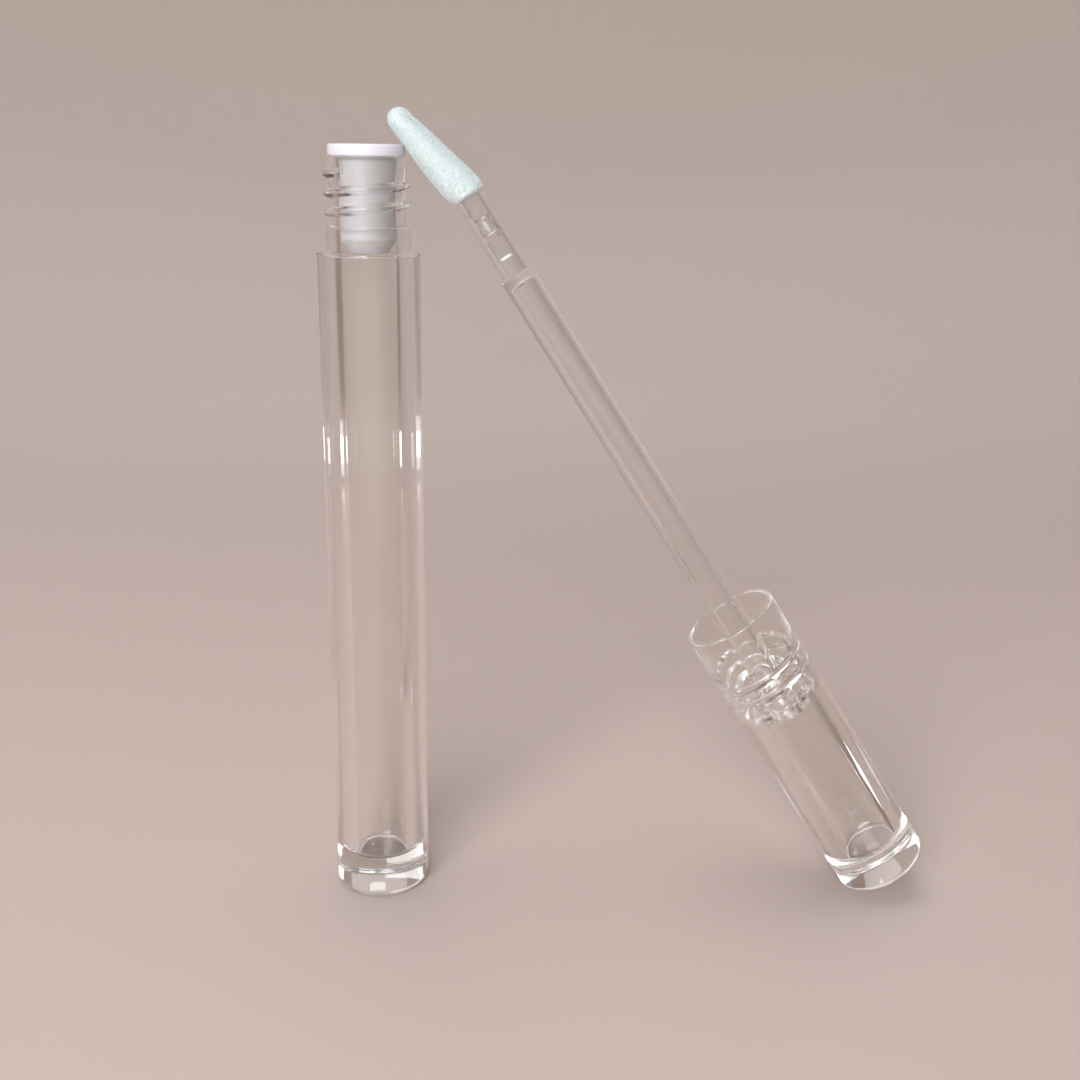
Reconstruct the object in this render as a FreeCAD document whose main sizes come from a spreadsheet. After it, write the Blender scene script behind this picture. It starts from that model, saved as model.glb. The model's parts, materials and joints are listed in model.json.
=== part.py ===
"""Lip gloss tube: a thick-walled clear bottle with a wiper in its neck, and a
clear cap that carries a hollow stem with a flocked, bent applicator head.

The bottle stands on the origin, +Z up. The cap and its wand lean against the
wiper's rim, closed end down, in the plane Y = 0. Every piece of the wand is
drawn upright on its own origin, the middle of the cap's closed end, and is
then placed as one.
"""
import FreeCAD, Part
import math
import os

import Sketcher

DOC = FreeCAD.newDocument("lip_gloss_tube")
V = FreeCAD.Vector

# ---------------------------------------------------------------------------
# Driving dimensions, millimetres and degrees
# ---------------------------------------------------------------------------

SIZES = [
    # lengths of the bottle
    ("body_height", 95.4, "foot to shoulder"),
    ("foot_round", 1.1, "rounded edge of the foot"),
    ("floor_thickness", 5.4, "solid foot under the bore"),
    ("floor_round", 0.9, "rounded edge of the bores' floors"),
    ("collar_height", 3.6, "plain collar above the shoulder"),
    ("neck_height", 12.55, "shoulder to the neck's top face"),
    ("edge_break", 0.2, "broken edges of the clear mouldings"),
    # radial steps and walls, from the applicator's shank outwards
    ("shank_radius", 1.25, "applicator's shank over its barbs"),
    ("shank_fit", 0.02, "radial, barbs to socket"),
    ("socket_wall", 0.68, "wall of the stem's reduced end"),
    ("stem_step", 0.5, "reduced end to the stem's full radius"),
    ("stem_wall", 1.1, "wall of the hollow stem"),
    ("wiper_clearance", 0.05, "radial, throat to stem"),
    ("wiper_cup_step", 0.58, "throat to the wiper's cup"),
    ("wiper_wall", 0.7, "wall of the wiper's plug"),
    ("wiper_fit", 0.02, "radial, plug to the bottle's bore"),
    ("neck_wall", 1.28, "bore to the root of the neck's thread"),
    ("wiper_flange_step", 0.04, "neck's root to the wiper's flange"),
    ("thread_depth", 0.76, "root to crest"),
    ("thread_clearance", 0.12, "radial, neck thread to cap thread"),
    ("skirt_step", 0.31, "cap's threaded bore to its skirt"),
    ("skirt_clearance", 0.47, "radial, collar to skirt"),
    ("skirt_wall", 0.73, "skirt to the outside of cap and bottle"),
    ("seat_step", 1.93, "cap's threaded bore to its blind bore"),
    # thread, shared by neck and cap
    ("thread_pitch", 2.5, ""),
    ("thread_root_width", 1.3, ""),
    ("thread_crest_width", 0.45, ""),
    ("thread_sink", 0.15, "ridge sunk into its wall"),
    ("neck_thread_turns", 2.4, ""),
    ("neck_thread_lead", 1.05, "collar's top to the ridge's start"),
    ("neck_thread_angle", 96.0, "ridge's start, round the neck from +X"),
    ("cap_thread_turns", 2.6, ""),
    ("cap_thread_lead", 1.0, "stem's flange to the ridge's start"),
    # wiper
    ("wiper_flange_height", 1.57, ""),
    ("wiper_edge_round", 0.3, ""),
    ("wiper_plug_length", 10.6, "straight plug below the flange"),
    ("wiper_lip_length", 1.8, "tapered lip below the plug"),
    ("wiper_lip_wall", 0.27, ""),
    ("wiper_throat", 0.8, "straight throat inside the lip"),
    # cap
    ("cap_length", 48.2, "closed end to mouth"),
    ("cap_end_round", 1.3, ""),
    ("cap_end_thickness", 5.0, "solid end under the blind bore"),
    ("skirt_depth", 5.3, ""),
    ("skirt_lead", 0.9, "length of the cone from skirt to thread"),
    ("seat_gap", 0.05, "wiper's flange to stem's flange, cap closed"),
    # stem
    ("tip_clearance", 4.97, "tip to the bore's floor, cap closed"),
    ("stem_flange_thickness", 0.95, ""),
    ("stem_flange_fit", 0.03, "radial, flange to the thread's bore"),
    ("stem_plug_length", 1.6, ""),
    ("stem_plug_fit", 0.02, "radial, plug to the cap's bore"),
    ("stem_web", 1.2, "solid web between the two bores"),
    ("socket_length", 12.05, "length of the reduced end"),
    # applicator
    ("barb_depth", 0.37, "barb's crest to the waist between barbs"),
    ("barb_tip", 0.4, "lead-in of the first barb"),
    ("barb_length", 2.7, "first barb, without its lead-in"),
    ("barb_pitch", 3.6, "start of one barb to the start of the next"),
    ("barb_step", 0.2, "length of a barb's back face"),
    ("ring_length", 0.7, "second barb, without its slope"),
    ("ring_slope", 0.85, "slope behind the second barb"),
    ("plain_length", 3.3, "plain shank behind the barbs"),
    ("shank_length", 9.6, "shoulder to the shank's end"),
    ("shoulder_gap", 0.05, "end of the stem to the applicator's shoulder"),
    ("shoulder_inset", 0.09, "edge of the head's core to the shoulder's rim"),
    ("shoulder_thickness", 0.6, ""),
    ("flock_thickness", 0.35, ""),
    ("head_length", 14.4, "flock's base to tip"),
    ("head_tip_round", 1.7, "length of the rounded tip"),
    ("head_width", 5.0, "across the head, side to side"),
    ("head_taper", 0.25, "share of the width lost at the tip"),
    ("head_core_least", 0.08, "half-thickness of the core at its very tip"),
    ("tip_reach", 2.4, "tip's middle from the stem's axis, towards the bend"),
    # how the wand rests
    ("lean_contact", 9.87, "head's base to the place that leans on the rim"),
    ("lean_gap", 0.12, "head to the wiper's rim"),
]

# Stations of the head outside its flock: share of the head's length, then its
# lower and upper edges as distances from the stem's axis, the lower one
# towards the bend and the upper one away from it
HEAD_STATIONS = [
    (0.0, 2.0, 2.3),
    (0.09, 2.55, 2.3),
    (0.22, 2.9, 1.85),
    (0.44, 3.25, 0.95),
    (0.66, 3.5, 0.1),
    (0.88, 3.7, -0.85),
]
for number, (share, low, high) in enumerate(HEAD_STATIONS):
    SIZES.append(("head_share_%d" % number, share, "place along the head"))
    SIZES.append(("head_low_%d" % number, low, "lower edge"))
    SIZES.append(("head_high_%d" % number, high, "upper edge"))

# Angles of the sections that round the head's tip, degrees
TIP_ANGLES = (35, 55, 70, 80, 86)

# Steps of the search for the lean at which the head meets the rim
HALVINGS = 40

SHEET = DOC.addObject("Spreadsheet::Sheet", "Sizes")
for row, (alias, value, note) in enumerate(SIZES, start=1):
    SHEET.set("A%d" % row, alias)
    SHEET.set("B%d" % row, str(value))
    SHEET.set("C%d" % row, note)
    SHEET.setAlias("B%d" % row, alias)
DOC.recompute()


def size(alias):
    """The value of one driving dimension."""
    return float(SHEET.get(alias))


def bound(text):
    """An expression in aliases, as the sheet's own cells."""
    names = sorted((alias for alias, _, _ in SIZES), key=len, reverse=True)
    out = ""
    word = ""
    for char in text + " ":
        if char.isalnum() or char == "_":
            word += char
            continue
        out += "Sizes." + word if word in names else word
        out += char
        word = ""
    return out.strip()


# Radii, each from the one inside it
SOCKET_RADIUS = "(shank_radius + shank_fit)"
SOCKET_OUTER = "(" + SOCKET_RADIUS + " + socket_wall)"
STEM_RADIUS = "(" + SOCKET_OUTER + " + stem_step)"
STEM_BORE = "(" + STEM_RADIUS + " - stem_wall)"
THROAT_RADIUS = "(" + STEM_RADIUS + " + wiper_clearance)"
WIPER_CUP = "(" + THROAT_RADIUS + " + wiper_cup_step)"
WIPER_PLUG = "(" + WIPER_CUP + " + wiper_wall)"
BOTTLE_BORE = "(" + WIPER_PLUG + " + wiper_fit)"
NECK_RADIUS = "(" + BOTTLE_BORE + " + neck_wall)"
WIPER_FLANGE = "(" + NECK_RADIUS + " + wiper_flange_step)"
THREAD_CREST = "(" + NECK_RADIUS + " + thread_depth)"
THREAD_BORE = "(" + THREAD_CREST + " + thread_clearance)"
SKIRT_RADIUS = "(" + THREAD_BORE + " + skirt_step)"
COLLAR_RADIUS = "(" + SKIRT_RADIUS + " - skirt_clearance)"
TUBE_RADIUS = "(" + SKIRT_RADIUS + " + skirt_wall)"
CAP_BORE = "(" + THREAD_BORE + " - seat_step)"

# Heights on the bottle, from its foot
COLLAR_TOP = "(body_height + collar_height)"
NECK_TOP = "(body_height + neck_height)"
RIM_TOP = "(" + NECK_TOP + " + wiper_flange_height)"

# Places along the wand, from the middle of the cap's closed end
SEAT = "(cap_length - neck_height - wiper_flange_height - seat_gap)"
FLANGE_BACK = "(" + SEAT + " - stem_flange_thickness)"
TIP = "(cap_length + body_height - floor_thickness - tip_clearance)"
HEAD_BASE = "(" + TIP + " - head_length)"
STEM_END = "(" + HEAD_BASE + " - shoulder_gap)"
STEM_STEP = "(" + STEM_END + " - socket_length)"

# ---------------------------------------------------------------------------
# Helpers
# ---------------------------------------------------------------------------


def origin_plane(body, role):
    """One of the body's own origin planes."""
    return next(f for f in body.Origin.OriginFeatures if f.Role == role)


def new_body(label):
    """An empty body, named for its piece."""
    body = DOC.addObject("PartDesign::Body", label)
    body.Label = label
    return body


def outline(body, name, points, turn="0"):
    """A closed sketch on the XZ plane whose corners are bound to the sheet.

    Each point is a pair of expressions: distance from the axis, height.
    turn is the sketch's angle round the axis, in degrees.
    """
    sketch = body.newObject("Sketcher::SketchObject", name)
    sketch.AttachmentSupport = (origin_plane(body, "XZ_Plane"), [""])
    sketch.MapMode = "FlatFace"
    sketch.AttachmentOffset = FreeCAD.Placement(V(), FreeCAD.Rotation(V(0, 1, 0), 1.0))
    sketch.setExpression("AttachmentOffset.Rotation.Angle", bound(turn) + " * 1 deg")
    DOC.recompute()
    values = [(evaluate(r), evaluate(z)) for r, z in points]
    count = len(points)
    for i in range(count):
        start = V(values[i][0], values[i][1], 0)
        end = V(values[(i + 1) % count][0], values[(i + 1) % count][1], 0)
        sketch.addGeometry(Part.LineSegment(start, end), False)
    for i in range(count):
        sketch.addConstraint(Sketcher.Constraint("Coincident", i, 2, (i + 1) % count, 1))
    for i, (r, z) in enumerate(points):
        pin_corner(sketch, i, "X", r, values[i][0])
        pin_corner(sketch, i, "Y", z, values[i][1])
    return sketch


def pin_corner(sketch, corner, axis, text, value):
    """Hold one corner of a sketch at an expression along one axis."""
    if text == "0":
        line = -2 if axis == "X" else -1
        sketch.addConstraint(Sketcher.Constraint("PointOnObject", corner, 1, line))
        return
    made = sketch.addConstraint(
        Sketcher.Constraint("Distance" + axis, -1, 1, corner, 1, value))
    sketch.setExpression("Constraints[%d]" % made, bound(text))


def evaluate(text):
    """The number that an expression in aliases stands for."""
    return float(SHEET.evalExpression(bound(text).replace("Sizes.", "")))


def turned(body, name, points, cut=False):
    """Revolve an outline round the axis, to add to the body or cut it."""
    sketch = outline(body, name + "_outline", points)
    kind = "PartDesign::Groove" if cut else "PartDesign::Revolution"
    feature = body.newObject(kind, name)
    feature.Profile = sketch
    feature.ReferenceAxis = (sketch, ["V_Axis"])
    feature.Angle = 360.0
    DOC.recompute()
    return feature


def ring_edges(feature, radius, height):
    """The names of a feature's round edges at one radius and height."""
    found = []
    for i, edge in enumerate(feature.Shape.Edges, start=1):
        curve = edge.Curve
        if not isinstance(curve, Part.Circle):
            continue
        same_radius = abs(curve.Radius - radius) < 1e-3
        same_height = abs(curve.Center.z - height) < 1e-3
        if same_radius and same_height and curve.Center.x ** 2 < 1e-6:
            found.append("Edge%d" % i)
    if not found:
        raise RuntimeError("no edge at radius %.3f, height %.3f" % (radius, height))
    return found


def rounded(body, name, base, rings, radius):
    """Round the ring-shaped edges given as pairs of expressions."""
    edges = []
    for r, z in rings:
        edges += ring_edges(base, evaluate(r), evaluate(z))
    fillet = body.newObject("PartDesign::Fillet", name)
    fillet.Base = (base, edges)
    fillet.setExpression("Radius", bound(radius))
    DOC.recompute()
    return fillet


def ridge(body, name, points, turns, angle):
    """A right-handed thread ridge, swept from its profile."""
    sketch = outline(body, name + "_profile", points, angle)
    helix = body.newObject("PartDesign::AdditiveHelix", name)
    helix.Profile = sketch
    helix.ReferenceAxis = (sketch, ["V_Axis"])
    helix.Mode = 1
    helix.setExpression("Pitch", bound("thread_pitch"))
    helix.setExpression("Turns", bound(turns))
    helix.Angle = 0
    helix.LeftHanded = False
    helix.Reversed = False
    DOC.recompute()
    return helix


# ---------------------------------------------------------------------------
# Bottle and wiper
# ---------------------------------------------------------------------------


def make_bottle():
    """One thick-walled moulding: solid foot, straight bore, collar, neck."""
    body = new_body("bottle")
    shell = turned(body, "BottleWall", [
        ("0", "0"),
        (TUBE_RADIUS, "0"),
        (TUBE_RADIUS, "body_height"),
        (COLLAR_RADIUS, "body_height"),
        (COLLAR_RADIUS, COLLAR_TOP),
        (NECK_RADIUS, COLLAR_TOP),
        (NECK_RADIUS, NECK_TOP),
        (BOTTLE_BORE, NECK_TOP),
        (BOTTLE_BORE, "floor_thickness"),
        ("0", "floor_thickness"),
    ])
    foot = rounded(body, "FootRound", shell, [(TUBE_RADIUS, "0")], "foot_round")
    floor = rounded(body, "FloorRound", foot, [(BOTTLE_BORE, "floor_thickness")],
                    "floor_round")
    edges = [
        (TUBE_RADIUS, "body_height"),
        (COLLAR_RADIUS, COLLAR_TOP),
        (NECK_RADIUS, NECK_TOP),
    ]
    rounded(body, "EdgeRounds", floor, edges, "edge_break")
    start = COLLAR_TOP + " + neck_thread_lead"
    ridge(body, "NeckThread", [
        (NECK_RADIUS + " - thread_sink", start + " - thread_root_width / 2"),
        (NECK_RADIUS + " - thread_sink", start + " + thread_root_width / 2"),
        (NECK_RADIUS, start + " + thread_root_width / 2"),
        (THREAD_CREST, start + " + thread_crest_width / 2"),
        (THREAD_CREST, start + " - thread_crest_width / 2"),
        (NECK_RADIUS, start + " - thread_root_width / 2"),
    ], "neck_thread_turns", "neck_thread_angle")
    return body


def make_wiper():
    """A soft plug with a flange on the neck and a thin lip that scrapes the stem."""
    body = new_body("wiper")
    plug_end = NECK_TOP + " - wiper_plug_length"
    lip_end = plug_end + " - wiper_lip_length"
    shell = turned(body, "WiperWall", [
        (THROAT_RADIUS, lip_end),
        (THROAT_RADIUS + " + wiper_lip_wall", lip_end),
        (WIPER_PLUG, plug_end),
        (WIPER_PLUG, NECK_TOP),
        (WIPER_FLANGE, NECK_TOP),
        (WIPER_FLANGE, RIM_TOP),
        (WIPER_CUP, RIM_TOP),
        (WIPER_CUP, plug_end + " + wiper_wall"),
        (THROAT_RADIUS, lip_end + " + wiper_throat"),
    ])
    rims = [(WIPER_FLANGE, NECK_TOP), (WIPER_FLANGE, RIM_TOP), (WIPER_CUP, RIM_TOP)]
    rounded(body, "WiperRims", shell, rims, "wiper_edge_round")
    return body


# ---------------------------------------------------------------------------
# Wand: cap, stem, applicator core and flock
# ---------------------------------------------------------------------------


def make_cap():
    """The clear cap: thin skirt, threaded bore, then an empty blind bore."""
    body = new_body("cap")
    thread_top = "cap_length - skirt_depth - skirt_lead"
    shell = turned(body, "CapWall", [
        ("0", "0"),
        (TUBE_RADIUS, "0"),
        (TUBE_RADIUS, "cap_length"),
        (SKIRT_RADIUS, "cap_length"),
        (SKIRT_RADIUS, "cap_length - skirt_depth"),
        (THREAD_BORE, thread_top),
        (THREAD_BORE, FLANGE_BACK),
        (CAP_BORE, FLANGE_BACK),
        (CAP_BORE, "cap_end_thickness"),
        ("0", "cap_end_thickness"),
    ])
    end = rounded(body, "CapEndRound", shell, [(TUBE_RADIUS, "0")], "cap_end_round")
    inner = rounded(body, "CapFloorRound", end, [(CAP_BORE, "cap_end_thickness")],
                    "floor_round")
    mouth = [(TUBE_RADIUS, "cap_length"), (SKIRT_RADIUS, "cap_length")]
    rounded(body, "MouthRounds", inner, mouth, "edge_break")
    start = SEAT + " + cap_thread_lead"
    crest = NECK_RADIUS + " + thread_clearance"
    ridge(body, "CapThread", [
        (THREAD_BORE + " + thread_sink", start + " - thread_root_width / 2"),
        (THREAD_BORE, start + " - thread_root_width / 2"),
        (crest, start + " - thread_crest_width / 2"),
        (crest, start + " + thread_crest_width / 2"),
        (THREAD_BORE, start + " + thread_root_width / 2"),
        (THREAD_BORE + " + thread_sink", start + " + thread_root_width / 2"),
    ], "cap_thread_turns", "0")
    return body


def make_stem():
    """The hollow stem: a flange and plug held in the cap, a reduced socket end."""
    body = new_body("stem")
    flange = "(" + THREAD_BORE + " - stem_flange_fit)"
    plug = "(" + CAP_BORE + " - stem_plug_fit)"
    plug_end = FLANGE_BACK + " - stem_plug_length"
    web_bottom = STEM_STEP + " - stem_web"
    shell = turned(body, "StemWall", [
        (STEM_BORE, plug_end),
        (plug, plug_end),
        (plug, FLANGE_BACK),
        (flange, FLANGE_BACK),
        (flange, SEAT),
        (STEM_RADIUS, SEAT),
        (STEM_RADIUS, STEM_STEP),
        (SOCKET_OUTER, STEM_STEP),
        (SOCKET_OUTER, STEM_END),
        (SOCKET_RADIUS, STEM_END),
        (SOCKET_RADIUS, STEM_STEP),
        ("0", STEM_STEP),
        ("0", web_bottom),
        (STEM_BORE, web_bottom + " - " + STEM_BORE),
    ])
    rounded(body, "StemStep", shell, [(STEM_RADIUS, STEM_STEP)], "edge_break")
    return body


def head_sections():
    """Height, middle, half-thickness, half-width: expressions for each section."""
    taper = "head_width / 2 * (1 - head_taper * (%s) ^ 2)"
    sections = []
    for i in range(len(HEAD_STATIONS)):
        share = "head_share_%d" % i
        middle = "(head_high_%d - head_low_%d) / 2" % (i, i)
        half = "(head_high_%d + head_low_%d) / 2" % (i, i)
        sections.append((share + " * head_length", middle, half, taper % share))
    for angle in TIP_ANGLES:
        rise = "sin(%d deg)" % angle
        narrow = "cos(%d deg)" % angle
        height = "(head_length - head_tip_round * (1 - %s))" % rise
        drift = "%s + (-tip_reach - %s) * %s" % (middle, middle, rise)
        width = "%s * %s" % (taper % (height + " / head_length"), narrow)
        sections.append((height, drift, "%s * %s" % (half, narrow), width))
    return sections


def head_loft(name, inset):
    """A smooth bent paddle through elliptical sections, set in from the flock."""
    ellipses = []
    for i, (height, middle, half, width) in enumerate(head_sections()):
        ellipse = DOC.addObject("Part::Ellipse", "%sSection%d" % (name, i))
        short = "max(%s - %s; head_core_least)" % (half, inset)
        wide = "max(%s - %s; 1.01 * (%s))" % (width, inset, short)
        ellipse.MajorRadius = 2 * size("head_width")
        ellipse.setExpression("MinorRadius", bound(short))
        ellipse.setExpression("MajorRadius", bound(wide))
        ellipse.Placement = FreeCAD.Placement(V(), FreeCAD.Rotation(V(0, 0, 1), 90))
        sunk = "(%s) * (1 - (%s) / head_length)" % (height, inset)
        ellipse.setExpression("Placement.Base.x", bound(middle))
        ellipse.setExpression("Placement.Base.z", bound(sunk))
        ellipses.append(ellipse)
    loft = DOC.addObject("Part::Loft", name)
    loft.Sections = ellipses
    loft.Solid = True
    loft.Ruled = False
    DOC.recompute()
    return loft


def make_applicator():
    """The applicator's core, barbed shank and paddle in one, and its flock."""
    waist = "(shank_radius - barb_depth)"
    shoulder = "(head_low_0 - flock_thickness - shoulder_inset)"
    first = "(barb_tip + barb_length)"
    second = "(barb_tip + barb_pitch)"
    plain = "(shank_length - plain_length)"
    shank = new_body("Shank")
    turned(shank, "ShankWall", [
        ("0", "0"),
        (waist, "0"),
        ("shank_radius", "barb_tip"),
        ("shank_radius", first),
        (waist, first + " + barb_step"),
        (waist, second + " - barb_step"),
        ("shank_radius", second),
        ("shank_radius", second + " + ring_length"),
        (waist, second + " + ring_length + ring_slope"),
        (waist, plain + " - barb_step"),
        ("shank_radius", plain),
        ("shank_radius", "shank_length"),
        (shoulder, "shank_length"),
        (shoulder, "shank_length + shoulder_thickness"),
        ("0", "shank_length + shoulder_thickness"),
    ])
    shank.setExpression("Placement.Base.z", bound("-shank_length"))
    outer = head_loft("HeadOuter", "0")
    inner = head_loft("HeadInner", "flock_thickness")
    core = DOC.addObject("Part::Fuse", "applicator_core")
    core.Base = shank
    core.Tool = inner
    core.Label = "applicator_core"
    flock = DOC.addObject("Part::Cut", "applicator_flock")
    flock.Base = outer
    flock.Tool = inner
    flock.Label = "applicator_flock"
    DOC.recompute()
    return core, flock


# ---------------------------------------------------------------------------
# How the wand rests
# ---------------------------------------------------------------------------


def underside(height):
    """How far the head's lower edge stands off the stem's axis."""
    reach = [(share * size("head_length"), low) for share, low, _ in HEAD_STATIONS]
    for (start, near), (end, far) in zip(reach, reach[1:]):
        if height <= end:
            return near + (far - near) * (height - start) / (end - start)
    return reach[-1][1]


def leaning():
    """The wand's lean and placement: cap's edge on the table, head on the rim."""
    end_round = size("cap_end_round")
    flat = evaluate(TUBE_RADIUS) - end_round
    rim_round = size("wiper_edge_round")
    rim = V(evaluate(WIPER_FLANGE) - rim_round, 0, evaluate(RIM_TOP) - rim_round)
    reach = evaluate(HEAD_BASE) + size("lean_contact")
    stand_off = underside(size("lean_contact")) + size("lean_gap") + rim_round

    def foot_height(lean):
        return flat * math.sin(lean) + end_round * (1 - math.cos(lean))

    def too_high(lean):
        place = foot_height(lean) + reach * math.cos(lean) - stand_off * math.sin(lean)
        return place > rim.z

    upright, flattest = 0.0, math.pi / 2
    for _ in range(HALVINGS):
        lean = (upright + flattest) / 2
        if too_high(lean):
            upright = lean
        else:
            flattest = lean
    foot_x = rim.x + reach * math.sin(lean) + stand_off * math.cos(lean)
    turn = FreeCAD.Rotation(V(0, 1, 0), -math.degrees(lean))
    return math.degrees(lean), FreeCAD.Placement(V(foot_x, 0, foot_height(lean)), turn)


BOTTLE = make_bottle()
WIPER = make_wiper()
CAP = make_cap()
STEM = make_stem()
CORE, FLOCK = make_applicator()

LEAN, REST = leaning()
CAP.Placement = REST
STEM.Placement = REST
HEAD_REST = REST.multiply(FreeCAD.Placement(V(0, 0, evaluate(HEAD_BASE)), FreeCAD.Rotation()))
CORE.Placement = HEAD_REST
FLOCK.Placement = HEAD_REST
DOC.recompute()

# ---------------------------------------------------------------------------
# Check and write
# ---------------------------------------------------------------------------

for item in DOC.Objects:
    if "Invalid" in item.State or "Error" in item.State:
        raise RuntimeError("%s failed: %s" % (item.Name, item.State))

os.makedirs("parts", exist_ok=True)
for piece in (BOTTLE, WIPER, CAP, STEM, CORE, FLOCK):
    shape = piece.Shape
    if shape.isNull() or not shape.isValid() or not shape.Solids:
        raise RuntimeError("%s has no valid solid" % piece.Label)
    shape.exportStep("parts/%s.step" % piece.Label)
    box = shape.BoundBox
    print("%-17s %8.1f mm3  x %.2f %.2f  y %.2f %.2f  z %.2f %.2f  solids %d" % (
        piece.Label, shape.Volume, box.XMin, box.XMax, box.YMin, box.YMax,
        box.ZMin, box.ZMax, len(shape.Solids)))
print("the wand leans %.3f degrees from its foot at" % LEAN, tuple(round(v, 3) for v in REST.Base))
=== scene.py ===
"""Lip gloss tube: looks for the clear bottle, the wiper in its neck, and the cap
whose stem carries a flocked applicator.

Sizes are in millimetres and become metres as each mesh is finished. The wand's
pieces are modelled upright on the middle of the cap's closed end, +Z towards
the applicator's tip, and are then leaned as the frame says.
"""

import json
import math
import random

import bmesh
import bpy
from mathutils import Matrix, Vector, noise


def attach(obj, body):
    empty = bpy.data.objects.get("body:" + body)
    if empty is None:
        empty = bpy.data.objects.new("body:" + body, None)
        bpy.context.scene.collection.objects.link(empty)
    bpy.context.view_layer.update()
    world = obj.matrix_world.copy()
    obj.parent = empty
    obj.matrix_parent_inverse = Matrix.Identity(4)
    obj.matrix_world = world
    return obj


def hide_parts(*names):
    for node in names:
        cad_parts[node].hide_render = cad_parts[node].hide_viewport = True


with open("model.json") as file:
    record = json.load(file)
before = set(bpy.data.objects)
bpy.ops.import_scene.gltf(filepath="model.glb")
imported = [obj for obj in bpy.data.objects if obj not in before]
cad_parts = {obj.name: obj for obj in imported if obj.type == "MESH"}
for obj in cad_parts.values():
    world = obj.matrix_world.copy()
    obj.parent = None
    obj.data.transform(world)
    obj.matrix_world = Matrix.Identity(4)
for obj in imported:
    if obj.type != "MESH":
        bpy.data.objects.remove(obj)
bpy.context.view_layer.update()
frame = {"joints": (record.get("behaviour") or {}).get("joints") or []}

MM = 0.001
TURN = 2 * math.pi
ROUND_SEGMENTS = 160
ARC_SEGMENTS = 5
ARC_PROFILE = 0.5
MERGE = 1e-4
WALL_WEIGHT = 100
SHARP = math.radians(38)

# ---------------------------------------------------------------------------
# Sizes, millimetres
# ---------------------------------------------------------------------------

BODY_HEIGHT = 95.4
FOOT_ROUND = 1.1
FLOOR = 5.4
FLOOR_ROUND = 0.9
COLLAR_HEIGHT = 3.6
NECK_HEIGHT = 12.55
EDGE = 0.2
TUBE_R = 7.0
BORE_R = 3.8
COLLAR_R = 5.8
NECK_R = 5.08

PITCH = 2.5
THREAD_DEPTH = 0.76
THREAD_CLEARANCE = 0.12
THREAD_ROOT = 1.3
THREAD_CREST = 0.45
THREAD_SINK = 0.15
CREST_ROUND = 0.12
CREST_SEGMENTS = 3
NECK_TURNS = 2.4
NECK_LEAD = 1.05
NECK_START = math.radians(96)
CAP_TURNS = 2.6
CAP_LEAD = 1.0
CAP_START = 0.0
RUN_OUT = 0.14
RUN_OUT_HEIGHT = 0.3

FLANGE_R = 5.12
FLANGE_HEIGHT = 1.57
FLANGE_ROUND = 0.3
PLUG_R = 3.78
CUP_R = 3.08
THROAT_R = 2.5
LIP_WALL = 0.27
LIP_ROUND = 0.1
PLUG_LENGTH = 10.6
LIP_LENGTH = 1.8
THROAT = 0.8
CUP_FLOOR_RISE = 0.7

CAP_LENGTH = 48.2
CAP_END = 5.0
CAP_END_ROUND = 1.3
CAP_BORE_R = 4.03
THREAD_BORE_R = NECK_R + THREAD_DEPTH + THREAD_CLEARANCE
SKIRT_R = 6.27
SKIRT_DEPTH = 5.3
SKIRT_LEAD = 0.9

STEM_R = 2.45
STEM_BORE_R = 1.35
STEM_BORE_DISH = 0.3
STEM_FLANGE = 0.95
STEM_PLUG = 1.6
STEM_PLUG_ROUND = 0.15
STEM_FLANGE_ROUND = 0.151
SOCKET_END_ROUND = 0.152
STEM_BORE_ROUND = 0.2
STEM_ROOT_ROUND = 0.3
FLANGE_FIT = 0.03
PLUG_FIT = 0.02
CAP_FIT = 0.05
SOCKET_R = 1.27
SOCKET_OUTER_R = 1.95
SOCKET_LENGTH = 12.05
SOCKET_ROUND = 0.1
SOCKET_GAP = 0.05
STEM_WEB = 1.2

SHANK_R = 1.25
WAIST_R = 0.88
SHANK_LENGTH = 9.6
SHOULDER_R = 1.56
SHOULDER = 0.6
HEAD_LENGTH = 14.4
HEAD_WIDTH = 5.0
HEAD_TAPER = 0.25
TIP_ROUND = 1.7
TIP_REACH = 2.4
FLOCK = 0.35
TIP_CLEARANCE = 4.97

NECK_TOP = BODY_HEIGHT + NECK_HEIGHT
RIM_TOP = NECK_TOP + FLANGE_HEIGHT
SEAT = CAP_LENGTH - NECK_HEIGHT - FLANGE_HEIGHT - CAP_FIT
FLANGE_BACK = SEAT - STEM_FLANGE
WAND_TIP = CAP_LENGTH + BODY_HEIGHT - FLOOR - TIP_CLEARANCE
HEAD_BASE = WAND_TIP - HEAD_LENGTH
STEM_END = HEAD_BASE - SOCKET_GAP
STEM_STEP = STEM_END - SOCKET_LENGTH


def wand_place():
    """Where the wand leans, from the joint that swings it upright over the neck."""
    swing = frame["joints"][0]
    travel = math.radians(swing["range_deg"][1])
    pole = Vector(swing["pos_m"]) / MM
    tip = Vector((2 * pole.x, 0, pole.z + pole.x / math.tan(travel / 2)))
    lean = math.pi - travel
    along = Vector((-math.sin(lean), 0, math.cos(lean)))
    foot = tip - along * WAND_TIP
    return Matrix.Translation(foot) @ Matrix.Rotation(-lean, 4, "Y")


WAND = wand_place()
UPRIGHT = Matrix.Identity(4)

# ---------------------------------------------------------------------------
# Modelling
# ---------------------------------------------------------------------------


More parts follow.
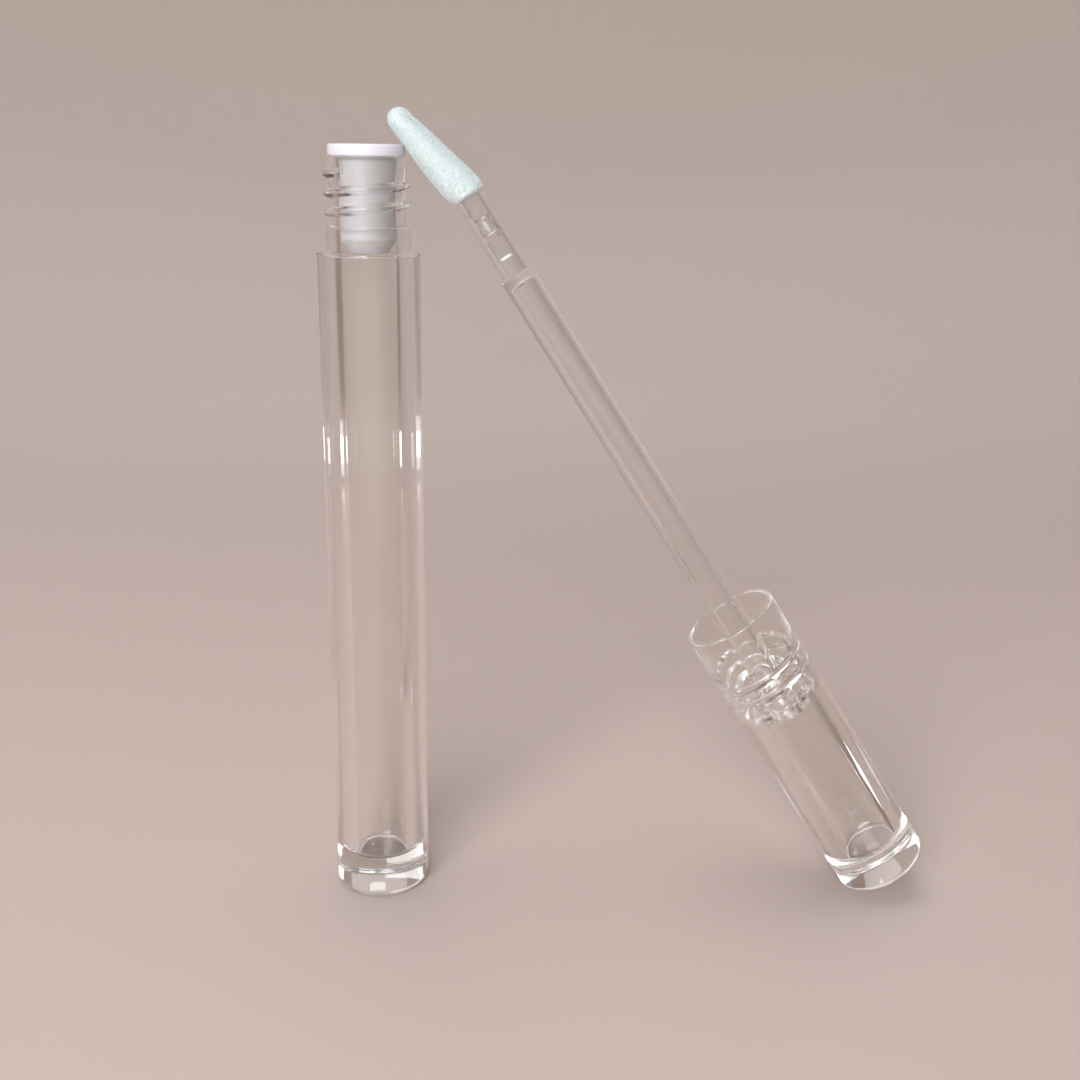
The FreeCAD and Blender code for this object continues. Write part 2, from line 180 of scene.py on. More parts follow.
def corner_outline(corners, closed):
    """A chain of edges through (radius, height, round) corners, rounded."""
    bm = bmesh.new()
    verts = [bm.verts.new((corner[0], 0, corner[1])) for corner in corners]
    count = len(verts)
    for i in range(count if closed else count - 1):
        bm.edges.new((verts[i], verts[(i + 1) % count]))
    for size in sorted({corner[2] for corner in corners if len(corner) > 2}):
        chosen = [v for v, corner in zip(verts, corners)
                  if len(corner) > 2 and corner[2] == size]
        bmesh.ops.bevel(bm, geom=chosen, offset=size, offset_type="OFFSET", affect="VERTICES",
                        segments=ARC_SEGMENTS, profile=ARC_PROFILE, material=-1)
        corners = [c for c in corners if not (len(c) > 2 and c[2] == size)]
        verts = [v for v in verts if v.is_valid]
    return bm


def spin_round(bm, steps, merge):
    """Turns an outline once round the Z axis and closes its seam."""
    bmesh.ops.spin(bm, geom=bm.verts[:] + bm.edges[:], cent=(0, 0, 0), axis=(0, 0, 1),
                   dvec=(0, 0, 0), angle=TURN, steps=steps, use_merge=True,
                   use_duplicate=False)
    bmesh.ops.remove_doubles(bm, verts=bm.verts, dist=merge)
    bmesh.ops.recalc_face_normals(bm, faces=bm.faces)


def turned(corners, closed=False):
    """A round solid or shell from its outline."""
    bm = corner_outline(corners, closed)
    spin_round(bm, ROUND_SEGMENTS, MERGE)
    return bm


def eased(share):
    """A share from 0 to 1 with a soft start and a soft end."""
    return share * share * (3 - 2 * share)


def thread_ridge(root, crest, start_height, start_angle, turns):
    """A right-handed ridge from root to crest radius that runs out at its ends."""
    sink = root - math.copysign(THREAD_SINK, crest - root)
    bm = bmesh.new()
    half_root = THREAD_ROOT / 2
    half_crest = THREAD_CREST / 2
    section = [(sink, -half_root), (root, -half_root), (crest, -half_crest),
               (crest, half_crest), (root, half_root), (sink, half_root)]
    verts = [bm.verts.new((r, 0, start_height + z)) for r, z in section]
    face = bm.faces.new(verts)
    bmesh.ops.bevel(bm, geom=verts[2:4], offset=CREST_ROUND, offset_type="OFFSET",
                    affect="VERTICES", segments=CREST_SEGMENTS, profile=ARC_PROFILE, material=-1)
    bmesh.ops.rotate(bm, verts=bm.verts, cent=(0, 0, 0),
                     matrix=Matrix.Rotation(start_angle, 3, "Z"))
    steps = round(turns * ROUND_SEGMENTS)
    bmesh.ops.spin(bm, geom=bm.verts[:] + bm.edges[:] + bm.faces[:], cent=(0, 0, 0),
                   axis=(0, 0, 1), dvec=(0, 0, PITCH * turns / steps), angle=TURN * turns,
                   steps=steps, use_merge=False, use_duplicate=False)
    for vert in bm.verts:
        radius = math.hypot(vert.co.x, vert.co.y)
        around = (math.atan2(vert.co.y, vert.co.x) - start_angle) / TURN
        climbed = (vert.co.z - start_height) / PITCH
        along = around + round(climbed - around)
        share = min(1.0, max(0.0, min(along, turns - along) / RUN_OUT))
        keep = eased(share)
        height = (radius - sink) * (RUN_OUT_HEIGHT + (1 - RUN_OUT_HEIGHT) * keep) + sink
        scale = height / radius
        vert.co.x *= scale
        vert.co.y *= scale
    bmesh.ops.recalc_face_normals(bm, faces=bm.faces)
    return bm


def as_object(bm, name):
    """A mesh object, still in millimetres, from a bmesh."""
    mesh = bpy.data.meshes.new(name)
    bm.to_mesh(mesh)
    bm.free()
    made = bpy.data.objects.new(name, mesh)
    bpy.context.scene.collection.objects.link(made)
    return made


def united(base, extra):
    """Base with extra joined to it as one skin."""
    modifier = base.modifiers.new("join", "BOOLEAN")
    modifier.operation = "UNION"
    modifier.solver = "EXACT"
    modifier.object = extra
    shaped = bpy.data.meshes.new_from_object(
        base.evaluated_get(bpy.context.evaluated_depsgraph_get()))
    base.modifiers.clear()
    base.data = shaped
    bpy.data.objects.remove(extra)
    return base


def finished(piece, place, body, node, material, replaces=True):
    """Puts a piece in place, in metres, on its body, with its finish."""
    mesh = piece.data
    mesh.transform(Matrix.Scale(MM, 4) @ place)
    mesh.polygons.foreach_set("use_smooth", [True] * len(mesh.polygons))
    mesh.set_sharp_from_angle(angle=SHARP)
    mesh.materials.clear()
    mesh.materials.append(material)
    flats = piece.modifiers.new("true_walls", "WEIGHTED_NORMAL")
    flats.mode = "FACE_AREA"
    flats.weight = WALL_WEIGHT
    flats.keep_sharp = True
    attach(piece, body)
    if replaces:
        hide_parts(node)
    return piece


def between(table, share, column):
    """A value read from a table of stations, in straight runs."""
    for low, high in zip(table, table[1:]):
        if share <= high[0]:
            part = (share - low[0]) / (high[0] - low[0])
            return low[column] + (high[column] - low[column]) * part
    return table[-1][column]


# ---------------------------------------------------------------------------
# Finishes
# ---------------------------------------------------------------------------


class Value:
    """A socket's number, on which Python's arithmetic adds Math nodes."""

    def __init__(self, finish, socket):
        self.finish = finish
        self.socket = socket

    def maths(self, operation, first, second):
        """One Math node on two numbers."""
        node = self.finish.node("ShaderNodeMath", {"operation": operation}, {0: first, 1: second})
        return Value(self.finish, node.outputs[0])

    def __add__(self, other):
        return self.maths("ADD", self, other)

    def __sub__(self, other):
        return self.maths("SUBTRACT", self, other)

    def __mul__(self, other):
        return self.maths("MULTIPLY", self, other)

    def __truediv__(self, other):
        return self.maths("DIVIDE", self, other)

    def __pow__(self, other):
        return self.maths("POWER", self, other)

    def __rsub__(self, other):
        return self.maths("SUBTRACT", other, self)

    def size(self):
        """The number without its sign."""
        return self.maths("ABSOLUTE", self, 0.0)


class Finish:
    """One material, built node by node round a Principled shader."""

    def __init__(self, name, **constants):
        self.material = bpy.data.materials.new(name)
        self.material.use_nodes = True
        self.tree = self.material.node_tree
        self.shader = self.tree.nodes["Principled BSDF"]
        self.place = self.node("ShaderNodeTexCoord", {}, {}).outputs["Object"]
        for socket, value in constants.items():
            self.shader.inputs[socket.replace("_", " ")].default_value = value

    def node(self, kind, settings, values):
        """A node of that kind; its settings first, then its sockets' values or links."""
        made = self.tree.nodes.new(kind)
        for key, value in settings.items():
            setattr(made, key, value)
        for key, value in values.items():
            if isinstance(value, Value):
                value = value.socket
            if isinstance(value, bpy.types.NodeSocket):
                self.tree.links.new(value, made.inputs[key])
            else:
                made.inputs[key].default_value = value
        return made

    def noise(self, scale, detail=2.0, stretch=(1, 1, 1)):
        """Noise in the piece's own metres, 0 to 1, stretched along an axis."""
        mapped = self.node("ShaderNodeMapping", {}, {"Vector": self.place, "Scale": stretch})
        made = self.node("ShaderNodeTexNoise", {},
                         {"Vector": mapped.outputs[0], "Scale": scale, "Detail": detail})
        return Value(self, made.outputs["Fac"])

    def blend(self, share, first, second):
        """A colour between two others."""
        made = self.node("ShaderNodeMix", {"data_type": "RGBA"},
                         {"Factor": share, 6: first, 7: second})
        return made.outputs[2]

    def ramp(self, value, low, high):
        """0 below low, 1 above high, smooth between."""
        made = self.node("ShaderNodeMapRange", {"interpolation_type": "SMOOTHSTEP"},
                         {"Value": value, "From Min": low, "From Max": high})
        return Value(self, made.outputs["Result"])

    def set(self, socket, value):
        """Feeds one of the shader's sockets."""
        link = value.socket if isinstance(value, Value) else value
        self.tree.links.new(link, self.shader.inputs[socket])

    def uneven_roughness(self, scale, least, spread):
        """Roughness that wanders a little from place to place."""
        self.set("Roughness", self.noise(scale) * spread + least)

    def bump(self, height, strength, distance):
        """Raises the surface by a height in small relief."""
        made = self.node("ShaderNodeBump", {},
                         {"Height": height, "Strength": strength, "Distance": distance})
        self.set("Normal", made.outputs[0])


CLEAR_TINT = (0.98, 0.973, 0.962, 1)
CLEAR_IOR = 1.57
STEM_TINT = (0.98, 0.98, 0.975, 1)
STEM_IOR = 1.5
PATCH_DARKER = (0.985, 0.985, 0.98, 1)
# The plug's tones are painted whiter than the flange's: painted light for the plug inside the
# clear neck.
PLUG_PAINTED_LIGHT_TONES = ((0.93, 0.915, 0.955, 1), (0.98, 0.965, 0.99, 1))
FLANGE_TONES = ((0.77, 0.765, 0.82, 1), (0.83, 0.82, 0.87, 1))
FLANGE_BLEND = 0.3
MILKY_SCATTER = (1.0, 0.9, 0.95)
CORE_TONES = ((0.93, 0.94, 0.94, 1), (0.975, 0.98, 0.98, 1))
# Tones of the flock ground: the darker one is painted shade in the hollows of the tufts, the
# lighter one goes on their tops.
GROUND_HOLLOW_SHADE_TONES = ((0.66, 0.74, 0.735, 1), (0.75, 0.825, 0.82, 1))
GROUND_FLECK = (0.76, 0.785, 0.785, 1)
GROUND_FLECK_SHARE = 0.35
TUFT_RELIEF = 0.7
PATCH_RELIEF = 0.3
FIBRE_TONES = ((0.72, 0.80, 0.795, 1), (0.80, 0.865, 0.86, 1))


def clear_plastic(name, tint, ior):
    """Polished clear moulding: faint flow waves and a few softer patches of polish."""
    finish = Finish(name, Transmission_Weight=1.0, IOR=ior)
    patches = finish.noise(scale=260, detail=3.0)
    softer = finish.ramp(patches, low=0.35, high=0.7)
    darker = tuple(part * less for part, less in zip(tint, PATCH_DARKER))
    finish.set("Base Color", finish.blend(softer, tint, darker))
    finish.uneven_roughness(scale=900, least=0.004, spread=0.03)
    flow = finish.noise(scale=120, stretch=(1, 1, 0.25))
    finish.bump(flow, strength=0.05, distance=0.0002)
    return finish.material


def milky_plastic():
    """Soft milky moulding of the wiper, satin; its plug is painted whiter than its flange, painted
    light in place of the light the clear neck keeps from the plug.
    """
    finish = Finish("milky_plastic", Transmission_Weight=0.08, IOR=1.5, Subsurface_Weight=0.2,
                    Subsurface_Scale=0.0012, Subsurface_Radius=MILKY_SCATTER)
    clouds = finish.noise(scale=500, detail=3.0)
    height = finish.node("ShaderNodeSeparateXYZ", {}, {0: finish.place}).outputs[2]
    above = finish.ramp(height, (NECK_TOP - FLANGE_BLEND) * MM, (NECK_TOP + FLANGE_BLEND) * MM)
    # Painted light: below the neck's top the plug gets whiter tones than the flange, making up for
    # the light the clear neck keeps from it.
    plug = finish.blend(clouds, *PLUG_PAINTED_LIGHT_TONES)
    flange = finish.blend(clouds, *FLANGE_TONES)
    finish.set("Base Color", finish.blend(above, plug, flange))
    finish.uneven_roughness(scale=1800, least=0.28, spread=0.15)
    finish.bump(finish.noise(scale=4000), strength=0.06, distance=0.0001)
    return finish.material


def core_plastic():
    """Natural, slightly hazy moulding of the applicator's core."""
    finish = Finish("core_plastic", Transmission_Weight=0.95, IOR=1.49)
    clouds = finish.noise(scale=700, detail=3.0)
    finish.set("Base Color", finish.blend(clouds, *CORE_TONES))
    finish.uneven_roughness(scale=2500, least=0.05, spread=0.12)
    finish.bump(finish.noise(scale=3500), strength=0.05, distance=0.0001)
    return finish.material


def flock_ground():
    """White adhesive ground packed with fibres, painted darker in the hollows of its tuft relief:
    painted shade.
    """
    finish = Finish("flock_ground", Roughness=0.95, Sheen_Weight=0.4, Sheen_Roughness=0.5,
                    Subsurface_Weight=0.25, Subsurface_Scale=0.0008)
    tufts = finish.noise(scale=5200, detail=3.0)
    patches = finish.noise(scale=700, detail=3.0)
    # Painted shade: the same tufts that raise the bump make the ground darker where they sink.
    shade = finish.blend(finish.ramp(tufts, low=0.3, high=0.65), *GROUND_HOLLOW_SHADE_TONES)
    finish.set("Base Color", finish.blend(patches * GROUND_FLECK_SHARE, shade, GROUND_FLECK))
    finish.bump(tufts * TUFT_RELIEF + patches * PATCH_RELIEF, strength=0.9, distance=0.0002)
    return finish.material


def flock_fibre():
    """Short white nylon fibres."""
    finish = Finish("flock_fibre", Roughness=0.6, Sheen_Weight=0.5, Sheen_Roughness=0.4,
                    Subsurface_Weight=0.15, Subsurface_Scale=0.0004)
    streaks = finish.noise(scale=3000)
    finish.set("Base Color", finish.blend(streaks, *FIBRE_TONES))
    return finish.material


CLEAR = clear_plastic("clear_plastic", CLEAR_TINT, CLEAR_IOR)
STEM_CLEAR = clear_plastic("stem_plastic", STEM_TINT, STEM_IOR)
MILKY = milky_plastic()
CORE = core_plastic()
GROUND = flock_ground()
FIBRE = flock_fibre()

# ---------------------------------------------------------------------------
# Bottle and wiper
# ---------------------------------------------------------------------------


def make_bottle():
    """The bottle: solid foot, straight bore, collar and threaded neck."""
    wall = turned([
        (0, 0), (TUBE_R, 0, FOOT_ROUND), (TUBE_R, BODY_HEIGHT, EDGE), (COLLAR_R, BODY_HEIGHT),
        (COLLAR_R, BODY_HEIGHT + COLLAR_HEIGHT, EDGE), (NECK_R, BODY_HEIGHT + COLLAR_HEIGHT),
        (NECK_R, NECK_TOP, EDGE), (BORE_R, NECK_TOP), (BORE_R, FLOOR, FLOOR_ROUND), (0, FLOOR),
    ])
    ridge = thread_ridge(NECK_R, NECK_R + THREAD_DEPTH,
                         BODY_HEIGHT + COLLAR_HEIGHT + NECK_LEAD, NECK_START, NECK_TURNS)
    piece = united(as_object(wall, "bottle_moulding"), as_object(ridge, "neck_ridge"))
    return finished(piece, UPRIGHT, "bottle", "bottle", CLEAR)


def make_wiper():
    """The wiper: cup, plug, scraping lip and the flange on the rim."""
    plug_end = NECK_TOP - PLUG_LENGTH
    lip_end = plug_end - LIP_LENGTH
    soft = turned([
        (THROAT_R, lip_end), (THROAT_R + LIP_WALL, lip_end, LIP_ROUND),
        (PLUG_R, plug_end, EDGE), (PLUG_R, NECK_TOP),
        (FLANGE_R, NECK_TOP, FLANGE_ROUND), (FLANGE_R, RIM_TOP, FLANGE_ROUND),
        (CUP_R, RIM_TOP, FLANGE_ROUND), (CUP_R, plug_end + CUP_FLOOR_RISE, EDGE),
        (THROAT_R, lip_end + THROAT, LIP_ROUND),
    ], closed=True)
    piece = as_object(soft, "wiper_insert")
    return finished(piece, UPRIGHT, "bottle", "wiper", MILKY)


# ---------------------------------------------------------------------------
# Cap, stem and applicator
# ---------------------------------------------------------------------------


def make_cap():
    """The cap: solid end, blind bore, threaded bore and thin skirt."""
    thread_top = CAP_LENGTH - SKIRT_DEPTH - SKIRT_LEAD
    wall = turned([
        (0, 0), (TUBE_R, 0, CAP_END_ROUND), (TUBE_R, CAP_LENGTH, EDGE),
        (SKIRT_R, CAP_LENGTH, EDGE), (SKIRT_R, CAP_LENGTH - SKIRT_DEPTH),
        (THREAD_BORE_R, thread_top), (THREAD_BORE_R, FLANGE_BACK),
        (CAP_BORE_R, FLANGE_BACK), (CAP_BORE_R, CAP_END, FLOOR_ROUND), (0, CAP_END),
    ])
    ridge = thread_ridge(THREAD_BORE_R, NECK_R + THREAD_CLEARANCE, SEAT + CAP_LEAD, CAP_START,
                         CAP_TURNS)
    piece = united(as_object(wall, "cap_moulding"), as_object(ridge, "cap_ridge"))
    return finished(piece, WAND, "wand", "cap", CLEAR)


def make_stem():
    """The stem: plug and flange in the cap, hollow rod, socket."""
    web = STEM_STEP - STEM_WEB
    plug_end = FLANGE_BACK - STEM_PLUG
    flange = THREAD_BORE_R - FLANGE_FIT
    plug = CAP_BORE_R - PLUG_FIT
    tube = turned([
        (0, web), (STEM_BORE_R, web - STEM_BORE_DISH, STEM_BORE_ROUND),
        (STEM_BORE_R, plug_end), (plug, plug_end, STEM_PLUG_ROUND),
        (plug, FLANGE_BACK), (flange, FLANGE_BACK), (flange, SEAT, STEM_FLANGE_ROUND),
        (STEM_R, SEAT, STEM_ROOT_ROUND), (STEM_R, STEM_STEP, EDGE),
        (SOCKET_OUTER_R, STEM_STEP), (SOCKET_OUTER_R, STEM_END, SOCKET_END_ROUND),
        (SOCKET_R, STEM_END, SOCKET_ROUND), (SOCKET_R, STEM_STEP), (0, STEM_STEP),
    ])
    piece = as_object(tube, "stem_moulding")
    return finished(piece, WAND, "wand", "stem", STEM_CLEAR)


# Stations of the head: share of its length, lower edge towards the bend, upper
# edge away from it, both from the stem's axis
HEAD_STATIONS = [
    (0.0, 2.0, 2.3),
    (0.09, 2.55, 2.3),
    (0.22, 2.9, 1.85),
    (0.44, 3.25, 0.95),
    (0.66, 3.5, 0.1),
    (0.88, 3.7, -0.85),
]
BASE_BAND = 0.1
TIP_BAND = 0.3
BASE_ROUND = 0.3
INSET_EASE = 0.5
HEAD_SEGMENTS = 96
HEAD_RINGS = 80
HEAD_SMOOTHING = 0.5


def head_section(share):
    """Middle, half-thickness and half-width of the head at a share of its length."""
    low = between(HEAD_STATIONS, share, 1)
    high = between(HEAD_STATIONS, share, 2)
    width = HEAD_WIDTH / 2 * (1 - HEAD_TAPER * share * share)
    return (high - low) / 2, (high + low) / 2, width


def head_skin(inset):
    """The bent paddle, from a ball pushed out to the head's sections."""
    bm = bmesh.new()
    bmesh.ops.create_uvsphere(bm, u_segments=HEAD_SEGMENTS, v_segments=HEAD_RINGS, radius=1.0)
    tip_share = HEAD_STATIONS[-1][0]
    for vert in bm.verts:
        up = math.acos(max(-1.0, min(1.0, -vert.co.z))) / math.pi
        spoke = Vector((vert.co.x, vert.co.y)).normalized() if 0 < up < 1 else Vector((0, 0))
        if up < BASE_BAND:
            quarter = up / BASE_BAND
            share = 0.0
            middle, half, wide = head_section(share)
            reach = min(1.0, 2 * quarter)
            swing = max(0.0, 2 * quarter - 1) * math.pi / 2
            sunk = BASE_ROUND * (1 - math.sin(swing))
            height = BASE_ROUND * (1 - math.cos(swing))
            half = (half - sunk) * reach
            wide = (wide - sunk) * reach
        elif up < 1 - TIP_BAND:
            part = (up - BASE_BAND) / (1 - TIP_BAND - BASE_BAND)
            start = BASE_ROUND / HEAD_LENGTH
            share = start + (tip_share - start) * part
            height = share * HEAD_LENGTH
            middle, half, wide = head_section(share)
        else:
            swing = (up - 1 + TIP_BAND) / TIP_BAND * math.pi / 2
            height = HEAD_LENGTH - TIP_ROUND * (1 - math.sin(swing))
            middle, half, wide = head_section(tip_share)
            middle += (-TIP_REACH - middle) * math.sin(swing)
            half *= math.cos(swing)
            wide *= math.cos(swing)
        half = max(0.0, half - inset * min(1.0, half / INSET_EASE))
        wide = max(0.0, wide - inset * min(1.0, wide / INSET_EASE))
        height *= 1 - inset / HEAD_LENGTH
        vert.co = (middle + half * spoke.x, wide * spoke.y, height)
    bmesh.ops.smooth_vert(bm, verts=bm.verts, factor=HEAD_SMOOTHING, use_axis_x=True,
                          use_axis_y=True, use_axis_z=True)
    bmesh.ops.recalc_face_normals(bm, faces=bm.faces)
    return bm


# Grooves of the core's shank, from the head down: top and bottom of each groove's floor
GROOVES = [(-3.5, -4.05), (-5.8, -6.3)]
GROOVE_SLOPE = 0.2
BARB_SLOPE = 0.85
SHANK_LEAD = 0.4


def make_core():
    """The core: barbed shank, shoulder and the paddle under the flock."""
    first, second = GROOVES
    shank = turned([
        (0, -SHANK_LENGTH), (WAIST_R, -SHANK_LENGTH), (SHANK_R, SHANK_LEAD - SHANK_LENGTH),
        (SHANK_R, second[1] - GROOVE_SLOPE), (WAIST_R, second[1]), (WAIST_R, second[0]),
        (SHANK_R, second[0] + GROOVE_SLOPE), (SHANK_R, first[1] - BARB_SLOPE),
        (WAIST_R, first[1]), (WAIST_R, first[0]), (SHANK_R, first[0] + GROOVE_SLOPE),
        (SHANK_R, 0), (SHOULDER_R, 0), (SHOULDER_R, SHOULDER), (0, SHOULDER),
    ])
    paddle = head_skin(FLOCK)
    piece = united(as_object(shank, "applicator_insert"), as_object(paddle, "paddle"))
    place = WAND @ Matrix.Translation((0, 0, HEAD_BASE))
    return finished(piece, place, "wand", "applicator_core", CORE)


FIBRES = 15000
FIBRE_LENGTH = (0.16, 0.34)
FIBRE_RADIUS = 0.022
FIBRE_LEAN = 0.45
FIBRE_SEED = 11
FIBRE_SIDES = 3
FIBRE_TIP = 0.3
FIBRE_ROOT = 0.04
FIBRE_LOWEST = 0.2
BUNDLE = 250
SWELLS = ((2.3, 0.05), (7.0, 0.03))
GROUND_SINK = 0.05


def fibre_bundle(roots, chance):
    """Short tapered fibres at (place, outward) roots."""
    bm = bmesh.new()
    for spot, outward in roots:
        lean = Vector((chance.gauss(0, 1), chance.gauss(0, 1), chance.gauss(0, 1))) * FIBRE_LEAN
        direction = (outward + lean).normalized()
        if direction.dot(outward) < FIBRE_LOWEST:
            direction = outward
        length = chance.uniform(*FIBRE_LENGTH)
        middle = spot + direction * (length / 2 - FIBRE_ROOT)
        turn = direction.to_track_quat("Z", "Y").to_matrix().to_4x4()
        bmesh.ops.create_cone(bm, cap_ends=True, cap_tris=True, segments=FIBRE_SIDES,
                              radius1=FIBRE_RADIUS, radius2=FIBRE_RADIUS * FIBRE_TIP, depth=length,
                              matrix=Matrix.Translation(middle) @ turn)
    return bm


def make_flock():
    """The flock: a packed ground, and the fibres that stand out of it."""
    ground = as_object(head_skin(0.0), "flock_ground")
    mesh = ground.data
    mesh.calc_loop_triangles()
    chance = random.Random(FIBRE_SEED)
    triangles = [t for t in mesh.loop_triangles if t.area > 0]
    picked = chance.choices(triangles, weights=[t.area for t in triangles], k=FIBRES)
    roots = []
    for triangle in picked:
        first, second, third = (mesh.vertices[i].co for i in triangle.vertices)
        a, b = sorted((chance.random(), chance.random()))
        spot = first * a + second * (b - a) + third * (1 - b)
        roots.append((spot, Vector(triangle.normal)))
    nap = bmesh.new()
    for start in range(0, len(roots), BUNDLE):
        bundle = fibre_bundle(roots[start:start + BUNDLE], chance)
        carrier = bpy.data.meshes.new("bundle")
        bundle.to_mesh(carrier)
        bundle.free()
        nap.from_mesh(carrier)
        bpy.data.meshes.remove(carrier)
    for vert in ground.data.vertices:
        swell = sum(noise.noise(vert.co * scale) * height for scale, height in SWELLS)
        vert.co += vert.normal * (swell - GROUND_SINK)
    place = WAND @ Matrix.Translation((0, 0, HEAD_BASE))
    finished(ground, place, "wand", "applicator_flock", GROUND)
    nap = as_object(nap, "flock_nap")
    finished(nap, place, "wand", "applicator_flock", FIBRE, replaces=False)


make_bottle()
make_wiper()
make_cap()
make_stem()
make_core()
make_flock()

# ---------------------------------------------------------------------------
# Stage, light and camera
# ---------------------------------------------------------------------------

STAGE_RADIUS = 1400
STAGE_CURVE = 900
STAGE_TOP = 1900
STAGE_DROP = 0.04
STAGE_SEGMENTS = 96
CURVE_SEGMENTS = 40
STAGE_MERGE = 1e-3
FLOOR_RINGS = (60, 150, 300)

# The paper's tones, from near the tube to far behind it, and how far off each begins, metres. They
# are painted light and shade: darker near the tube and paler far behind it, in place of the fall
# of light across the floor.
PAPER_NEAR_PAINTED_SHADE = (0.60, 0.485, 0.44, 1)
PAPER_MIDDLE = (0.72, 0.63, 0.585, 1)
PAPER_FAR_PAINTED_LIGHT = (0.77, 0.65, 0.57, 1)
PAPER_FLECK = (0.50, 0.42, 0.38, 1)
PAPER_FLECK_SHARE = 0.08
MIDDLE_REACH = (0.12, 0.5)
FAR_REACH = (0.7, 1.3)

# A ring of painted shade lies round the tube, a dark sheet in place of the dark room that the
# clear plastic shows, and a pale wedge cuts through it behind the tube.
# The wedge opens from as far in front of the tube as the camera stands.
PAINTED_SHADE_RING_TONE = (0.37, 0.285, 0.24, 1)
RING_INNER = (0.31, 0.45)
RING_OUTER = (0.65, 1.0)
WEDGE_EDGES = (0.9, 1.4)
WEDGE_BACK = (-0.05, 0.05)
WEDGE_APEX = 0.174


def backdrop_paper():
    """Pale paper with a ring of painted shade round the tube, cut behind it by a pale wedge, and
    painted darker near the tube than far behind it.
    """
    finish = Finish("backdrop_paper", Roughness=0.9, Specular_IOR_Level=0.2)
    axes = finish.node("ShaderNodeSeparateXYZ", {}, {0: finish.place})
    across = Value(finish, axes.outputs[0])
    away = Value(finish, axes.outputs[1])
    distance = (across * across + away * away) ** 0.5
    # Painted shade: the dark ring, except where the wedge lies.
    clear = 1 - finish.ramp(distance, *RING_INNER) * (1 - finish.ramp(distance, *RING_OUTER))
    behind = finish.ramp(away, *WEDGE_BACK)
    beside = across.size() / (away.size() + WEDGE_APEX)
    wedge = behind * (1 - finish.ramp(beside, *WEDGE_EDGES))
    pale = clear + wedge - clear * wedge
    # Painted light and shade: the paper's tone rises from dark near the tube to pale far behind
    # it.
    tone = finish.blend(finish.ramp(away, *MIDDLE_REACH), PAPER_NEAR_PAINTED_SHADE, PAPER_MIDDLE)
    tone = finish.blend(finish.ramp(away, *FAR_REACH), tone, PAPER_FAR_PAINTED_LIGHT)
    fibres = finish.noise(scale=1500, detail=3.0)
    mottled = finish.blend(fibres * PAPER_FLECK_SHARE, tone, PAPER_FLECK)
    finish.set("Base Color", finish.blend(pale, PAINTED_SHADE_RING_TONE, mottled))
    finish.bump(fibres, strength=0.05, distance=0.0001)
    return finish.material


def make_stage():
    """A round floor that sweeps up into a wall all the way round."""
    bm = bmesh.new()
    radii = (0,) + FLOOR_RINGS + (STAGE_RADIUS,)
    verts = [bm.verts.new((radius, 0, 0)) for radius in radii]
    verts.append(bm.verts.new((STAGE_RADIUS, 0, STAGE_TOP)))
    for first, second in zip(verts, verts[1:]):
        bm.edges.new((first, second))
    bmesh.ops.bevel(bm, geom=[verts[-2]], offset=STAGE_CURVE, offset_type="OFFSET",
                    affect="VERTICES", segments=CURVE_SEGMENTS, profile=ARC_PROFILE, material=-1)
    spin_round(bm, STAGE_SEGMENTS, STAGE_MERGE)
    floor = min(bm.faces, key=lambda face: face.calc_center_median().length)
    if floor.normal.z < 0:
        bmesh.ops.reverse_faces(bm, faces=bm.faces)
    stage = as_object(bm, "stage")
    stage.data.transform(Matrix.Scale(MM, 4) @ Matrix.Translation((0, 0, -STAGE_DROP)))
    stage.data.polygons.foreach_set("use_smooth", [True] * len(stage.data.polygons))
    stage.data.materials.append(backdrop_paper())


COOL = (0.93, 0.97, 1.0)
ROOM = (0.92, 0.96, 1.0, 1)
ROOM_STRENGTH = 0.28

# Name, place and aim in millimetres, width and height, watts
LAMPS = [
    ("overhead_panel", (-150, 100, 1300), (0, 0, 0), (900, 900), 6.6),
    ("front_panel", (-170, -650, 330), (20, 0, 70), (500, 400), 6.2),
    ("back_panel", (0, 720, 440), (20, 0, 10), (900, 300), 0.2),
    ("back_lamp", (-10, 700, 425), (20, 0, 10), (200, 24), 0.006),
    ("left_strip", (-228, 101, 13.3), (0, 0, 13.3), (50, 9), 0.0062),
    ("left_glow", (-230, 102, 13.3), (0, 0, 13.3), (70, 19), 0.0018),
    ("right_strip", (235, 86, 13.3), (0, 0, 13.3), (40, 12), 0.003),
]


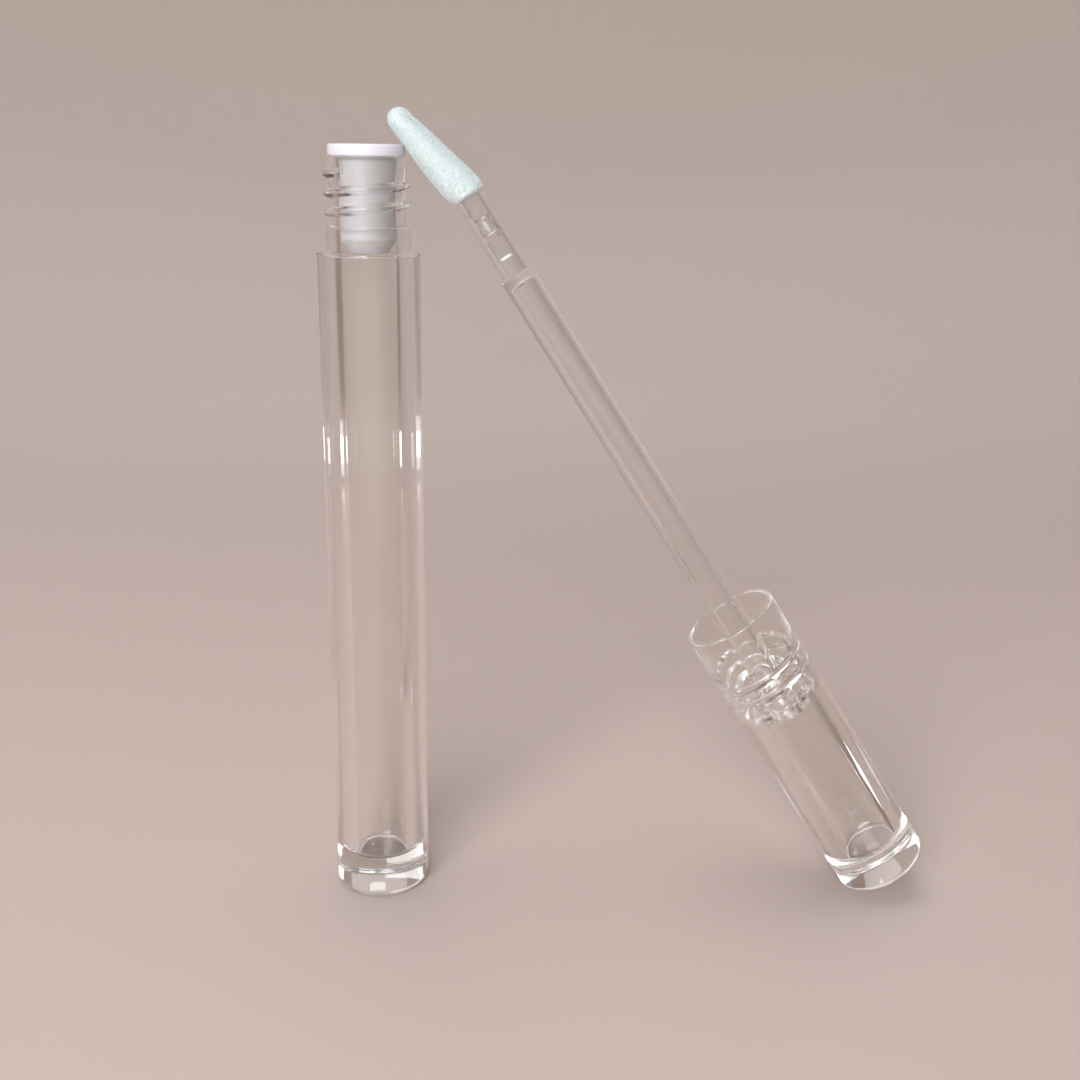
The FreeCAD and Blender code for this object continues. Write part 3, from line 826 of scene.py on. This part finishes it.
def soft_light(name, place, aim, size, watts):
    """A soft panel of light that points at a spot."""
    data = bpy.data.lights.new(name, "AREA")
    data.shape = "RECTANGLE"
    data.size = size[0] * MM
    data.size_y = size[1] * MM
    data.energy = watts
    data.color = COOL
    lamp = bpy.data.objects.new(name, data)
    lamp.location = Vector(place) * MM
    lamp.rotation_euler = (Vector(aim) - Vector(place)).to_track_quat("-Z", "Y").to_euler()
    lamp.visible_camera = False
    bpy.context.scene.collection.objects.link(lamp)


def make_light():
    """A dim pale room, and the lamps."""
    world = bpy.data.worlds.new("room")
    world.use_nodes = True
    background = world.node_tree.nodes["Background"]
    background.inputs["Color"].default_value = ROOM
    background.inputs["Strength"].default_value = ROOM_STRENGTH
    bpy.context.scene.world = world
    for lamp in LAMPS:
        soft_light(*lamp)


CAMERA_PLACE = (23.8, -173.8, 107.76)
CAMERA_LENS = 41.8
CAMERA_DOWN = math.radians(16.834)
CAMERA_ROLL = math.radians(-0.856)
CAMERA_SENSOR = 36
CAMERA_CLIP = (0.01, 20)


def make_camera():
    """The camera, from its place, its downward tilt and its small roll."""
    data = bpy.data.cameras.new("camera")
    data.sensor_width = CAMERA_SENSOR
    data.lens = CAMERA_LENS
    data.clip_start, data.clip_end = CAMERA_CLIP
    camera = bpy.data.objects.new("camera", data)
    ahead = Vector((0, math.cos(CAMERA_DOWN), -math.sin(CAMERA_DOWN)))
    level = Vector((1, 0, 0))
    down = ahead.cross(level)
    right = level * math.cos(CAMERA_ROLL) + down * math.sin(CAMERA_ROLL)
    up = level * math.sin(CAMERA_ROLL) - down * math.cos(CAMERA_ROLL)
    turn = Matrix((right, up, -ahead)).transposed()
    camera.rotation_euler = turn.to_euler()
    camera.location = Vector(CAMERA_PLACE) * MM
    bpy.context.scene.collection.objects.link(camera)
    bpy.context.scene.camera = camera


BOUNCES = 96
TRANSPARENT_BOUNCES = 16


def make_view():
    """Room for light to pass through many clear walls, and plain colours."""
    scene = bpy.context.scene
    scene.cycles.max_bounces = BOUNCES
    scene.cycles.transmission_bounces = BOUNCES
    scene.cycles.glossy_bounces = BOUNCES
    scene.cycles.transparent_max_bounces = TRANSPARENT_BOUNCES
    scene.view_settings.view_transform = "Standard"


make_stage()
make_light()
make_camera()
make_view()
